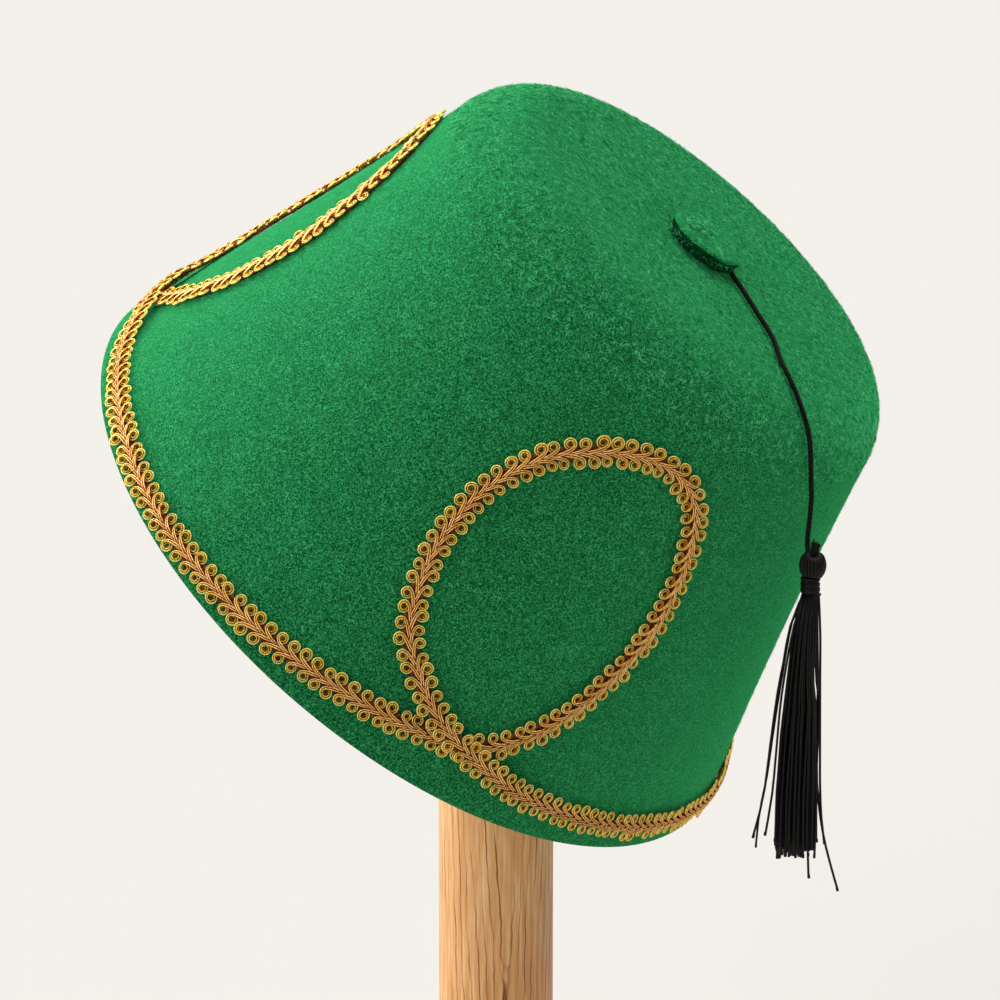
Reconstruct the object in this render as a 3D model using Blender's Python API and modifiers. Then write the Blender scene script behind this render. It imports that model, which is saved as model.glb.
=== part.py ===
"""Fez hat of green felt with a looped gold braid and a black tassel, tilted on a plain wooden stand.

Metres, +Z up. The origin is the centre of the stand's underside. The hat leans towards +X, and the wearer's
forehead to nape direction lies along Y.
"""

import math

import bmesh
import bpy
from mathutils import Matrix, Vector

# Hat shell, in the hat's own frame: rim in the plane z = 0, crown towards +z
RIM_HALF_WIDTH = 0.087
RIM_HALF_LENGTH = 0.0935
CROWN_RADIUS = 0.056
CROWN_HEIGHT = 0.100
CROWN_DOME = 0.001
WALL_BOW = 0.0012
SHOULDER_RADIUS = 0.016
FELT_THICKNESS = 0.002
SHELL_SIDES = 72
WALL_ROWS = 7
SHOULDER_ROWS = 6
TOP_ROWS = 3

# How the hat sits on the stand
HAT_TILT = math.radians(42.5)
RIM_CENTRE = Vector((-0.018, 0.0, 0.180))

# Felt tab over the middle of the crown
TAB_RADIUS = 0.0089
TAB_THICKNESS = 0.0036
TAB_CENTRE = (0.0019, -0.0065)
TAB_EDGE_ROUNDING = 0.0005
TAB_SIDES = 40

# Gold gimp braid
BRAID_WIDTH = 0.0064
BRAID_THICKNESS = 0.0009
BRAID_STEP = 0.0045
# The loops, in degrees round the hat: where each one stands and how far its top leans over. Then shares of
# the route below: how tall it is, how wide before and after its middle, and how far the lower part of its
# returning side is drawn in. Last, how far it dips after it, in mm
LOOPS = (
    {"at": -56.8, "lean": 0.0, "tall": 1.0, "before": 1.0, "after": 1.0, "pinch": 0.0, "dip": 0.0},
    {"at": 73.5, "lean": 2.0, "tall": 0.98, "before": 0.95, "after": 1.0, "pinch": 0.0, "dip": 0.8},
    {"at": 204.2, "lean": -8.0, "tall": 1.03, "before": 0.68, "after": 1.05, "pinch": 0.4, "dip": 1.9},
)
PINCH_FROM = 12.0  # mm up the wall: the rim's own braid lies below this
PINCH_FULL = 40.0  # the returning side is drawn in fully up to here
PINCH_END = 68.0  # and not at all from here up
DIP_FROM = 8.0  # the turn after which a loop's tail dips
DIP_BELOW = 9.0  # only this near the rim, in mm
# One loop: degrees from its middle, mm up the wall from the rim, share of the lift over the strand below
LOOP_ROUTE = (
    {"turn": -45.0, "up": 4.0, "lift": 0},
    {"turn": -31.0, "up": 5.4, "lift": 0},
    {"turn": -18.0, "up": 7.6, "lift": 0},
    {"turn": -6.0, "up": 10.2, "lift": 0},
    {"turn": 3.3, "up": 13.4, "lift": 0},
    {"turn": 11.5, "up": 24.5, "lift": 0},
    {"turn": 16.8, "up": 39.5, "lift": 0},
    {"turn": 18.9, "up": 55.0, "lift": 0},
    {"turn": 16.3, "up": 71.0, "lift": 0},
    {"turn": 11.0, "up": 80.3, "lift": 0},
    {"turn": 3.0, "up": 83.6, "lift": 0},
    {"turn": -6.5, "up": 80.5, "lift": 0},
    {"turn": -15.5, "up": 71.5, "lift": 0},
    {"turn": -20.0, "up": 58.0, "lift": 0},
    {"turn": -19.7, "up": 42.5, "lift": 0},
    {"turn": -15.4, "up": 27.5, "lift": 0},
    {"turn": -10.5, "up": 20.6, "lift": 0.2},
    {"turn": -4.8, "up": 15.4, "lift": 0.9},
    {"turn": 1.5, "up": 12.0, "lift": 1},
    {"turn": 8.0, "up": 9.6, "lift": 0.8},
    {"turn": 15.0, "up": 7.8, "lift": 0},
    {"turn": 29.0, "up": 6.3, "lift": 0},
    {"turn": 44.0, "up": 5.4, "lift": 0},
)

# Tassel cord: over the crown, as degrees round the hat and mm up from the rim, then plumb
CORD_DIAMETER = 0.0011
CORD_STEP = 0.0028
CORD_ON_CROWN = (
    {"turn": -27.0, "up": 145.1},
    {"turn": -26.0, "up": 141.3},
    {"turn": -26.5, "up": 135.5},
    {"turn": -26.5, "up": 128.9},
    {"turn": -27.0, "up": 125.4},
    {"turn": -29.0, "up": 121.6},
    {"turn": -30.7, "up": 117.8},
    {"turn": -31.2, "up": 113.4},
    {"turn": -30.5, "up": 109.0},
    {"turn": -29.0, "up": 105.6},
    {"turn": -27.5, "up": 103.0},
    {"turn": -26.2, "up": 100.8},
)
# Off the felt: mm down from the last point on it, and mm aside along the felt
CORD_FALL = (
    {"drop": 1.8, "aside": 0.34},
    {"drop": 4.5, "aside": 0.57},
    {"drop": 8.5, "aside": 0.76},
    {"drop": 13.0, "aside": 0.95},
    {"drop": 17.0, "aside": 0.60},
    {"drop": 20.5, "aside": 0.12},
    {"drop": 24.0, "aside": 0.0},
)
CORD_FALL_WAY = Vector((0.42, 0.907, 0.0))  # the way along the felt

# Tassel, hanging plumb; drops are measured from the end of the cord
HEAD_RADIUS = 0.0029
HEAD_LENGTH = 0.0052
BINDING_RADIUS = 0.0021
BINDING_LENGTH = 0.0040
HEAD_ROWS = 10
BINDING_ROWS = 6
TASSEL_SIDES = 16
SKIRT_LENGTH = 0.0560
TASSEL_YAW = math.radians(25.2)
TASSEL_SHIFT = Vector((0.00084, 0.0004, 0.0))  # the cord enters the head a little off its middle
# Skirt sections: share of its length, half sizes and sideways lean in mm
SKIRT_SECTIONS = (
    {"down": 0.00, "wide": 1.9, "deep": 1.8, "lean": 0.0},
    {"down": 0.10, "wide": 2.4, "deep": 2.1, "lean": -0.3},
    {"down": 0.35, "wide": 3.2, "deep": 2.6, "lean": -1.2},
    {"down": 0.70, "wide": 4.3, "deep": 3.2, "lean": -2.4},
    {"down": 1.00, "wide": 5.3, "deep": 3.8, "lean": -3.5},
)

# Stand
POST_RADIUS = 0.0134
BASE_RADIUS = 0.075
BASE_THICKNESS = 0.018
BASE_EDGE_RADIUS = 0.004
SOCKET_DEPTH = 0.010
POST_SIDES = 48
POST_DOME_ROWS = 8
BASE_SIDES = 64
BASE_EDGE_ROWS = 5

GAP = 0.0005  # kept between pieces that touch
MERGE = 0.00001
MM = 0.001

MEAN_RADIUS = (RIM_HALF_WIDTH + CROWN_RADIUS) / 2
LOOP_TOP = max(row["up"] for row in LOOP_ROUTE)

HAT_FRAME = Matrix.Translation(RIM_CENTRE) @ Matrix.Rotation(HAT_TILT, 4, "Y")


def clear_scene():
    for item in list(bpy.data.objects):
        bpy.data.objects.remove(item, do_unlink=True)


def material(name, colour, roughness, metallic=0.0):
    made = bpy.data.materials.new(name)
    made.use_nodes = True
    shader = made.node_tree.nodes["Principled BSDF"]
    shader.inputs["Base Color"].default_value = (*colour, 1.0)
    shader.inputs["Roughness"].default_value = roughness
    shader.inputs["Metallic"].default_value = metallic
    return made


def add_object(name, data, finish, parent=None):
    item = bpy.data.objects.new(name, data)
    PARTS.objects.link(item)
    item.parent = parent
    data.materials.append(finish)
    return item


def mesh_from(name, build):
    """A mesh that build(bm) fills in."""
    bm = bmesh.new()
    build(bm)
    mesh = bpy.data.meshes.new(name)
    bm.to_mesh(mesh)
    bm.free()
    return mesh


def shade(item, angle=math.radians(40)):
    item.data.shade_smooth()
    item.data.set_sharp_from_angle(angle=angle)


def loft(bm, rings, closed_round=True, closed_along=False):
    """Quads between rings of points that all have the same count. Returns the rings' vertices."""
    rows = [[bm.verts.new(point) for point in ring] for ring in rings]
    count = len(rows[0])
    row_pairs = zip(rows, rows[1:] + rows[:1]) if closed_along else zip(rows, rows[1:])
    for lower, upper in row_pairs:
        for i in range(count if closed_round else count - 1):
            j = (i + 1) % count
            bm.faces.new((lower[i], lower[j], upper[j], upper[i]))
    return rows


def arc(centre, radius, start, end, steps):
    """Points (x, z) along an arc, its first point left out."""
    angles = [start + (end - start) * i / steps for i in range(1, steps + 1)]
    return [(centre[0] + radius * math.cos(a), centre[1] + radius * math.sin(a)) for a in angles]


# ---- the hat's surface ----


def rim_radius(angle):
    """The oval rim's radius in a direction round the hat."""
    return 1 / math.hypot(math.cos(angle) / RIM_HALF_WIDTH, math.sin(angle) / RIM_HALF_LENGTH)


def outline(rim):
    """Points (radius, height) from the rim up the bowed wall, round the shoulder and over the top."""
    top_slope = (CROWN_RADIUS - rim + 4 * WALL_BOW) / CROWN_HEIGHT
    wall_angle = math.atan2(1, top_slope)
    turn = math.pi - math.atan2(2 * CROWN_DOME, CROWN_RADIUS) - wall_angle
    reach = SHOULDER_RADIUS * math.tan(turn / 2)
    wall_top = 1 - reach * math.sin(wall_angle) / CROWN_HEIGHT
    points = []
    for i in range(WALL_ROWS + 1):
        t = wall_top * i / WALL_ROWS
        points.append((rim + (CROWN_RADIUS - rim) * t - 4 * WALL_BOW * t * (1 - t), CROWN_HEIGHT * t))
    outward = wall_angle - math.pi / 2
    centre = (
        CROWN_RADIUS - reach * math.cos(wall_angle) - SHOULDER_RADIUS * math.cos(outward),
        CROWN_HEIGHT - reach * math.sin(wall_angle) - SHOULDER_RADIUS * math.sin(outward),
    )
    points += arc(centre, SHOULDER_RADIUS, outward, outward + turn, SHOULDER_ROWS)
    edge_radius, edge_height = points[-1]
    for i in range(1, TOP_ROWS + 1):
        share = 1 - i / TOP_ROWS
        dome = CROWN_DOME * (1 - share**2) * edge_radius / CROWN_RADIUS
        points.append((edge_radius * share, edge_height + dome))
    return points


def hat_point(angle, up):
    """The point on the felt, `up` metres along the outline from the rim, in the hat's frame."""
    points = outline(rim_radius(angle))
    radius, height = points[-1]
    for (r0, h0), (r1, h1) in zip(points, points[1:]):
        length = math.hypot(r1 - r0, h1 - h0)
        if up <= length:
            radius, height = r0 + (r1 - r0) * up / length, h0 + (h1 - h0) * up / length
            break
        up -= length
    return Vector((radius * math.cos(angle), radius * math.sin(angle), height))


def hat_normal(angle, up):
    step = 0.001
    around = hat_point(angle + step / CROWN_RADIUS, up) - hat_point(angle - step / CROWN_RADIUS, up)
    along = hat_point(angle, up + step) - hat_point(angle, up - step)
    return around.cross(along).normalized()


def smooth_curve(points, step, closed=False):
    """Points about `step` apart on a Catmull-Rom curve through the given vectors."""
    count = len(points)
    curve = []
    for i in range(count if closed else count - 1):
        if closed:
            a, b, c, d = (points[(i + k) % count] for k in (-1, 0, 1, 2))
        else:
            a, b, c, d = (points[min(max(i + k, 0), count - 1)] for k in (-1, 0, 1, 2))
        pieces = max(1, round((c - b).length / step))
        for k in range(pieces):
            t = k / pieces
            curve.append(
                0.5 * (2 * b + (c - a) * t + (2 * a - 5 * b + 4 * c - d) * t**2
                       + (3 * b - a - 3 * c + d) * t**3)
            )
    return curve if closed else curve + [points[-1]]


# ---- the pieces ----


def make_felt_crown(felt, hat):
    def build(bm):
        angles = [2 * math.pi * i / SHELL_SIDES for i in range(SHELL_SIDES)]
        outlines = [outline(rim_radius(a)) for a in angles]
        rings = []
        for row in range(len(outlines[0]) - 1):
            rings.append([
                (points[row][0] * math.cos(a), points[row][0] * math.sin(a), points[row][1])
                for a, points in zip(angles, outlines)
            ])
        rows = loft(bm, rings)
        peak = bm.verts.new((0, 0, sum(points[-1][1] for points in outlines) / SHELL_SIDES))
        for i in range(SHELL_SIDES):
            bm.faces.new((rows[-1][i], rows[-1][(i + 1) % SHELL_SIDES], peak))

    crown = add_object("felt_crown", mesh_from("felt_crown", build), felt, hat)
    wall = crown.modifiers.new("wall", "SOLIDIFY")
    wall.thickness = FELT_THICKNESS
    wall.offset = -1
    wall.use_even_offset = True
    shade(crown)


def braid_route():
    """Along the rim and round every loop, as (distance round a mean hat, distance up, lift)."""
    route = []
    for loop in LOOPS:
        for row in LOOP_ROUTE:
            width = loop["before"] if row["turn"] < 0 else loop["after"]
            if row["turn"] < 0 and row["up"] > PINCH_FROM:
                share = (PINCH_END - row["up"]) / (PINCH_END - PINCH_FULL)
                width *= 1 - loop["pinch"] * min(max(share, 0), 1)
            lean = loop["lean"] * row["up"] / LOOP_TOP
            turn = math.radians(loop["at"] + row["turn"] * width + lean)
            dip = loop["dip"] if row["turn"] > DIP_FROM and row["up"] < DIP_BELOW else 0
            up = (row["up"] * loop["tall"] - dip) * MM
            route.append(Vector((turn * MEAN_RADIUS, up, row["lift"] * (BRAID_THICKNESS + GAP))))
    return route


def braid_centre(point):
    """The strip's underside on the felt, in the hat's frame, and the felt's direction there."""
    angle = point.x / MEAN_RADIUS
    normal = hat_normal(angle, point.y)
    lift = min(max(point.z, 0), BRAID_THICKNESS + GAP)
    return hat_point(angle, point.y) + normal * (GAP + lift), normal


def make_braid(gold, hat):
    """One strip laid along the rim, with each loop's end lifted over its start."""
    route = braid_route()
    lap = Vector((2 * math.pi * MEAN_RADIUS, 0, 0))
    before, after = route[-1] - lap, [route[0] + lap, route[1] + lap]
    path = smooth_curve([before, *route, *after], BRAID_STEP)
    lead = len(smooth_curve([before, route[0]], BRAID_STEP)) - 1
    tail = len(smooth_curve(after, BRAID_STEP))
    centres = [braid_centre(point) for point in path[lead:-tail]]

    def build(bm):
        rings = []
        for i, (here, normal) in enumerate(centres):
            behind, ahead = centres[i - 1][0], centres[(i + 1) % len(centres)][0]
            side = normal.cross(ahead - behind).normalized() * BRAID_WIDTH / 2
            rings.append([here - side, here + side])
        loft(bm, rings, closed_round=False, closed_along=True)

    braid = add_object("gold_braid", mesh_from("gold_braid", build), gold, hat)
    strip = braid.modifiers.new("thickness", "SOLIDIFY")
    strip.thickness = BRAID_THICKNESS
    strip.offset = -1
    shade(braid)


def make_tab(felt, hat):
    def build(bm):
        bmesh.ops.create_cone(
            bm, cap_ends=True, segments=TAB_SIDES, radius1=TAB_RADIUS, radius2=TAB_RADIUS,
            depth=TAB_THICKNESS,
        )

    tab = add_object("crown_tab", mesh_from("crown_tab", build), felt, hat)
    peak = outline(rim_radius(0))[-1][1]
    tab.location = (*TAB_CENTRE, peak + GAP + TAB_THICKNESS / 2)
    edge = tab.modifiers.new("edge", "BEVEL")
    edge.width = TAB_EDGE_ROUNDING
    edge.segments = 2
    edge.limit_method = "ANGLE"
    shade(tab)


def cord_route():
    """The cord's own points, in the world: laid on the felt, then falling plumb."""
    points = []
    for row in CORD_ON_CROWN:
        angle, up = math.radians(row["turn"]), row["up"] * MM
        clear = hat_normal(angle, up) * (CORD_DIAMETER / 2 + GAP)
        points.append(HAT_FRAME @ (hat_point(angle, up) + clear))
    edge = points[-1].copy()
    for row in CORD_FALL:
        points.append(edge + CORD_FALL_WAY * row["aside"] * MM + Vector((0, 0, -row["drop"] * MM)))
    return points


def make_cord(thread):
    route = smooth_curve(cord_route(), CORD_STEP)
    curve = bpy.data.curves.new("tassel_cord", "CURVE")
    curve.dimensions = "3D"
    curve.bevel_depth = CORD_DIAMETER / 2
    curve.bevel_resolution = 2
    curve.use_fill_caps = True
    spline = curve.splines.new("POLY")
    spline.points.add(len(route) - 1)
    for point, place in zip(spline.points, route):
        point.co = (*place, 1)
    add_object("tassel_cord", curve, thread)
    return route[-1]


def turned(name, profile, finish, steps, place=(0, 0, 0)):
    """A solid of revolution about Z. The profile runs down its outer side, as (radius, height)."""

    def build(bm):
        verts = [bm.verts.new((radius, 0, height)) for radius, height in profile]
        for upper, lower in zip(verts, verts[1:]):
            bm.edges.new((upper, lower))

    item = add_object(name, mesh_from(name, build), finish)
    item.location = place
    spin = item.modifiers.new("turn", "SCREW")
    spin.steps = steps
    spin.render_steps = steps
    spin.use_merge_vertices = True
    spin.merge_threshold = MERGE
    spin.use_smooth_shade = True
    return item


def make_tassel(thread, cord_end):
    head_top = cord_end.z - GAP
    half = HEAD_LENGTH / 2
    side = arc((0, 0), 1, math.pi / 2, -math.pi / 2, HEAD_ROWS)[:-1]
    head = [(0, half), *[(HEAD_RADIUS * r, half * z) for r, z in side], (0, -half)]
    turned("tassel_head", head, thread, TASSEL_SIDES, (cord_end.x, cord_end.y, head_top - half))

    binding_top = head_top - HEAD_LENGTH - GAP
    half = BINDING_LENGTH / 2
    side = arc((BINDING_RADIUS - half, 0), half, math.pi / 2, -math.pi / 2, BINDING_ROWS)
    binding = [(0, half), (BINDING_RADIUS - half, half), *side, (0, -half)]
    turned("tassel_binding", binding, thread, TASSEL_SIDES, (cord_end.x, cord_end.y, binding_top - half))

    def build(bm):
        rings = []
        for row in SKIRT_SECTIONS:
            ring = []
            for i in range(TASSEL_SIDES):
                a = 2 * math.pi * i / TASSEL_SIDES
                x = (row["lean"] + row["wide"] * math.cos(a)) * MM
                ring.append((x, row["deep"] * math.sin(a) * MM, -row["down"] * SKIRT_LENGTH))
            rings.append(ring)
        rows = loft(bm, rings)
        bm.faces.new(rows[0])
        bm.faces.new(rows[-1])
        bmesh.ops.recalc_face_normals(bm, faces=bm.faces)

    skirt = add_object("tassel_skirt", mesh_from("tassel_skirt", build), thread)
    skirt.location = (cord_end.x, cord_end.y, binding_top - BINDING_LENGTH - GAP)
    skirt.rotation_euler.z = TASSEL_YAW
    shade(skirt)


def post_top():
    """How high the post's round end reaches before it meets the inside of the leaning crown."""
    reach = POST_RADIUS + GAP + FELT_THICKNESS
    centre = math.inf
    for degrees in range(-60, 61, 5):  # to each side of the crown's highest line
        for up in range(70, 151):  # mm from the rim, over the shoulder and onto the top
            place = HAT_FRAME @ hat_point(math.pi + math.radians(degrees), up * MM)
            beside = math.hypot(place.x, place.y)
            if beside < reach:
                centre = min(centre, place.z - math.sqrt(reach**2 - beside**2))
    return centre + POST_RADIUS


def make_stand(wood):
    top = post_top()
    foot = BASE_THICKNESS - SOCKET_DEPTH + GAP
    dome = arc((0, top - POST_RADIUS), POST_RADIUS, math.pi / 2, 0, POST_DOME_ROWS)
    turned("stand_post", [(0, top), *dome, (POST_RADIUS, foot), (0, foot)], wood, POST_SIDES)

    r = BASE_EDGE_RADIUS
    rim = BASE_RADIUS - r
    upper = arc((rim, BASE_THICKNESS - r), r, math.pi / 2, 0, BASE_EDGE_ROWS)
    lower = arc((rim, r), r, 0, -math.pi / 2, BASE_EDGE_ROWS)
    profile = [(0, BASE_THICKNESS), (rim, BASE_THICKNESS), *upper, (BASE_RADIUS, r), *lower, (0, 0)]
    base = turned("stand_base", profile, wood, BASE_SIDES)

    def build(bm):
        bmesh.ops.create_cone(
            bm, cap_ends=True, segments=POST_SIDES, radius1=POST_RADIUS + GAP,
            radius2=POST_RADIUS + GAP, depth=2 * SOCKET_DEPTH,
        )

    cutter = bpy.data.objects.new("socket_cutter", mesh_from("socket_cutter", build))
    CUTTERS.objects.link(cutter)
    cutter.location.z = BASE_THICKNESS
    cutter.hide_render = True
    cutter.display_type = "WIRE"
    socket = base.modifiers.new("socket", "BOOLEAN")
    socket.operation = "DIFFERENCE"
    socket.object = cutter


def build_hat():
    felt = material("green_wool_felt", (0.011, 0.222, 0.062), 0.95)
    gold = material("gold_metallic_thread", (0.72, 0.40, 0.06), 0.4, 0.8)
    thread = material("black_rayon_thread", (0.006, 0.006, 0.007), 0.5)
    wood = material("pale_oiled_wood", (0.54, 0.32, 0.15), 0.55)

    hat = bpy.data.objects.new("hat_frame", None)
    PARTS.objects.link(hat)
    hat.matrix_world = HAT_FRAME

    make_felt_crown(felt, hat)
    make_braid(gold, hat)
    make_tab(felt, hat)
    cord_end = make_cord(thread)
    make_tassel(thread, cord_end + TASSEL_SHIFT)
    make_stand(wood)


clear_scene()
PARTS = bpy.data.collections.new("fez_hat_on_stand")
CUTTERS = bpy.data.collections.new("cutters")
for group in (PARTS, CUTTERS):
    bpy.context.scene.collection.children.link(group)
build_hat()
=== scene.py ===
import math

import bpy
import numpy as np
from mathutils import Matrix, Vector


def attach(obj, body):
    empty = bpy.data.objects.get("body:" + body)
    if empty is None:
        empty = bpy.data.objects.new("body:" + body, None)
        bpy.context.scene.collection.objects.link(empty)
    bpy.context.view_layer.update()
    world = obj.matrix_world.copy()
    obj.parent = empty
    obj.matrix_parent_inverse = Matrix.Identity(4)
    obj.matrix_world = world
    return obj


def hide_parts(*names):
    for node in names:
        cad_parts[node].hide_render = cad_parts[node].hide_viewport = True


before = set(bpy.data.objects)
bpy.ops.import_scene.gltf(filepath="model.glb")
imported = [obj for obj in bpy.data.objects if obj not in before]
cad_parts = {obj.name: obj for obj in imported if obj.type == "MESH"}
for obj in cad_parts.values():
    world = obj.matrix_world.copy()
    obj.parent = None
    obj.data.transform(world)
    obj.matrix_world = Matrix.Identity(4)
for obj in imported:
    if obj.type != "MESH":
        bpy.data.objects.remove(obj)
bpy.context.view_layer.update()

mm = 0.001


def hexColor(code):
    # an sRGB hex value, as a colour picker shows it, to the linear values that shaders take
    parts = [int(code[i:i + 2], 16) / 255 for i in (0, 2, 4)]
    return (*[p / 12.92 if p <= 0.04045 else ((p + 0.055) / 1.055) ** 2.4 for p in parts], 1.0)


def addNode(material, kind, inputs, **settings):
    # adds one node; an input is a value or another node's output
    node = material.node_tree.nodes.new(kind)
    for name, value in settings.items():
        setattr(node, name, value)
    for name, value in inputs.items():
        if isinstance(value, bpy.types.NodeSocket):
            material.node_tree.links.new(value, node.inputs[name])
        else:
            node.inputs[name].default_value = value
    return node


def addNoise(material, coords, size, detail=2.0, roughness=0.5, wander=0.0):
    # a cloudy pattern with spots about `size` across
    inputs = {
        "Vector": coords, "Scale": 1 / size, "Detail": detail, "Roughness": roughness, "Distortion": wander
    }
    return addNode(material, "ShaderNodeTexNoise", inputs).outputs["Fac"]


def addMath(material, operation, *values):
    # one step of arithmetic on numbers or other nodes' outputs
    node = addNode(material, "ShaderNodeMath", dict(enumerate(values)), operation=operation)
    return node.outputs["Value"]


def addRange(material, value, lowest, highest, first=0.0, last=1.0, kind="LINEAR"):
    # spreads what lies from lowest to highest over first to last
    inputs = {"Value": value, "From Min": lowest, "From Max": highest, "To Min": first, "To Max": last}
    return addNode(material, "ShaderNodeMapRange", inputs, interpolation_type=kind).outputs["Result"]


def addLines(material, distance, halfWidth):
    # 1 in the middle of a line, softly down to 0 at its edges
    return addRange(material, distance, 0.0, halfWidth, 1.0, 0.0, "SMOOTHSTEP")


def addCurls(material, coords, size, sharpness, wander):
    # thin wandering lines, about `size` apart, as the places where a smooth noise crosses its middle
    noise = addNoise(material, coords, size, detail=0.0, wander=wander)
    apart = addMath(material, "ABSOLUTE", addMath(material, "SUBTRACT", noise, 0.5))
    return addLines(material, apart, 1 / sharpness)


def addRamp(material, value, places, codes):
    # a colour for every value, from hex colours at places between 0 and 1
    node = addNode(material, "ShaderNodeValToRGB", {"Fac": value})
    ramp = node.color_ramp
    while len(ramp.elements) < len(codes):
        ramp.elements.new(0.5)
    for element, place, code in zip(ramp.elements, places, codes):
        element.position = place
        element.color = hexColor(code)
    return node.outputs["Color"]


def addBlend(material, share, first, second):
    # from the first colour at a share of 0 to the second at 1
    return addNode(material, "ShaderNodeMix", {0: share, 6: first, 7: second}, data_type="RGBA").outputs[2]


def addBump(material, height, distance, strength):
    inputs = {"Height": height, "Distance": distance, "Strength": strength}
    return addNode(material, "ShaderNodeBump", inputs).outputs["Normal"]


def newMaterial(name):
    # an empty material, and the places on the piece that its patterns follow
    material = bpy.data.materials.new(name)
    material.use_nodes = True
    return material, addNode(material, "ShaderNodeTexCoord", {}).outputs["Object"]


def setSurface(material, patterns, values):
    # joins patterns to the shader and sets its even values
    shader = material.node_tree.nodes["Principled BSDF"]
    for name, output in patterns.items():
        material.node_tree.links.new(output, shader.inputs[name])
    for name, value in values.items():
        shader.inputs[name].default_value = value
    return material


def pickOnly(*items):
    bpy.ops.object.select_all(action="DESELECT")
    for item in items:
        item.select_set(True)
    bpy.context.view_layer.objects.active = items[0]


def closeMesh(gap):
    # joins the active mesh's points that lie within the gap, and turns its faces outwards
    bpy.ops.object.mode_set(mode="EDIT")
    bpy.ops.mesh.select_all(action="SELECT")
    bpy.ops.mesh.remove_doubles(threshold=gap)
    bpy.ops.mesh.normals_make_consistent(inside=False)
    bpy.ops.object.mode_set(mode="OBJECT")


def applyModifiers(item):
    pickOnly(item)
    for modifier in list(item.modifiers):
        bpy.ops.object.modifier_apply(modifier=modifier.name)


def finishPiece(item, material, slotName, *nodes):
    # places the piece in its mesh, gives it its finish and lets it ride with the hat and stand
    pickOnly(item)
    bpy.ops.object.transform_apply(location=True, rotation=True, scale=True)
    item.data.materials.clear()
    item.data.materials.append(material)
    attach(item, "root")
    if nodes:
        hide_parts(*nodes)
    return item


# camera

view = {
    "place": (0.28895, -0.61182, 0.31250),
    "turn": 25.2,  # degrees round to the right of the hat's front
    "dip": 10.0,  # degrees downwards
    "lens": 108,
}
bpy.ops.object.camera_add(
    location=view["place"], rotation=(math.radians(90 - view["dip"]), 0, math.radians(view["turn"]))
)
eye = bpy.context.object
eye.data.lens = view["lens"]
eye.data.sensor_width = 36
eye.data.clip_start = 0.01
bpy.context.scene.camera = eye
bpy.context.scene.view_settings.view_transform = "Standard"
print("camera placed")

# the hat's outline, which the felt, the braid, the patch and the cord all follow
hat = {
    "rimHalfWidth": 87 * mm,
    "rimHalfLength": 93.5 * mm,
    "crownRadius": 56 * mm,
    "crownHeight": 100 * mm,
    "crownDome": 1 * mm,
    "wallBow": 1.2 * mm,
    "shoulderRadius": 16 * mm,
    "thickness": 2 * mm,
    "rimCentre": (-18 * mm, 0, 180 * mm),
    "tilt": 42.5,  # degrees, towards +X
    "wallRows": 16,
    "shoulderRows": 14,
    "topRows": 6,
}
hatFrame = Matrix.Translation(hat["rimCentre"]) @ Matrix.Rotation(math.radians(hat["tilt"]), 4, "Y")
hatTurn, hatPlace = np.array(hatFrame.to_3x3()), np.array(hatFrame.translation)


def hatOutline(angles):
    # rows of radius and height up the bowed wall, round the shoulder and over the top, for each angle
    top, height, bow = hat["crownRadius"], hat["crownHeight"], hat["wallBow"]
    rim = 1 / np.hypot(np.cos(angles) / hat["rimHalfWidth"], np.sin(angles) / hat["rimHalfLength"])
    lean = np.arctan2(1, (top - rim + 4 * bow) / height)
    turn = math.pi - math.atan2(2 * hat["crownDome"], top) - lean
    reach = hat["shoulderRadius"] * np.tan(turn / 2)
    share = np.linspace(0, 1, hat["wallRows"] + 1)[:, None] * (1 - reach * np.sin(lean) / height)
    wall = rim + (top - rim) * share - 4 * bow * share * (1 - share), height * share
    outward = lean - math.pi / 2
    centreRadius = top - reach * np.cos(lean) - hat["shoulderRadius"] * np.cos(outward)
    centreHeight = height - reach * np.sin(lean) - hat["shoulderRadius"] * np.sin(outward)
    swing = outward + turn * np.linspace(0, 1, hat["shoulderRows"] + 1)[1:, None]
    shoulderRadii = centreRadius + hat["shoulderRadius"] * np.cos(swing)
    shoulderHeights = centreHeight + hat["shoulderRadius"] * np.sin(swing)
    left = np.linspace(1, 0, hat["topRows"] + 1)[1:, None]
    dome = hat["crownDome"] * (1 - left**2) * shoulderRadii[-1] / top
    return (
        np.vstack([wall[0], shoulderRadii, shoulderRadii[-1] * left]),
        np.vstack([wall[1], shoulderHeights, shoulderHeights[-1] + dome]),
    )


def hatPoints(angles, ups):
    # points in the hat's own frame, `ups` metres along the outline from the rim
    radii, heights = hatOutline(angles)
    lengths = np.cumsum(np.hypot(np.diff(radii, axis=0), np.diff(heights, axis=0)), axis=0)
    lengths = np.vstack([np.zeros_like(ups), lengths])
    row = np.clip((lengths <= ups).sum(axis=0) - 1, 0, len(lengths) - 2)
    column = np.arange(len(ups))
    low, high = lengths[row, column], lengths[row + 1, column]
    share = np.clip((ups - low) / (high - low), 0, 1)
    radius = radii[row, column] * (1 - share) + radii[row + 1, column] * share
    height = heights[row, column] * (1 - share) + heights[row + 1, column] * share
    return np.stack([radius * np.cos(angles), radius * np.sin(angles), height], axis=1)


def hatNormals(angles, ups):
    step = 1.5 * mm
    swing = step / hat["crownRadius"]
    around = hatPoints(angles + swing, ups) - hatPoints(angles - swing, ups)
    along = hatPoints(angles, ups + step) - hatPoints(angles, ups - step)
    normals = np.cross(around, along)
    return normals / np.linalg.norm(normals, axis=1, keepdims=True)


def onStand(points):
    # from the hat's own frame to the tilted place on the stand
    return points @ hatTurn.T + hatPlace


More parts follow.
